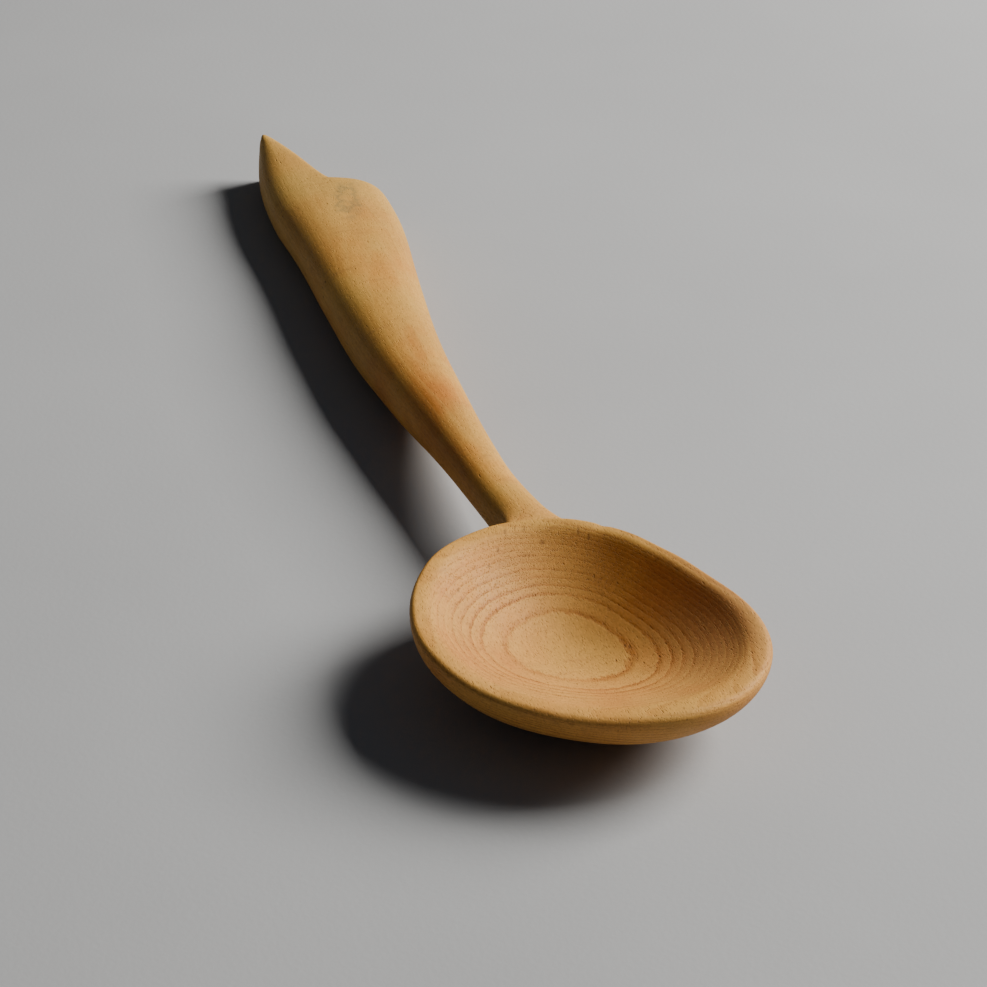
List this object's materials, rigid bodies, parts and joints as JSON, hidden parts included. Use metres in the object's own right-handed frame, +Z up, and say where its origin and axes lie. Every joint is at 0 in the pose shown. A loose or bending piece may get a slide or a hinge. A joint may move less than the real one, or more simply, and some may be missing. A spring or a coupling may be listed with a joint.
{
  "type": "carved wooden serving spoon",
  "caption": "Hand-carved wooden spoon with an egg-shaped bowl turned to one side, a thin neck and a fishtail handle.",
  "frame": {"origin": "under the middle of the whole spoon, on the table that it lies on", "axes": "+Y along the handle from the bowl to the point of the tail, +X to the right when seen from the bowl's end with the hollow up, +Z up out of the hollow"},
  "size_m": [0.058, 0.255, 0.017],
  "materials": {
    "wood": "oiled, satin"
  },
  "bodies": {
    "root": {"bowl": "wood", "handle": "wood"}
  },
  "joints": []
}
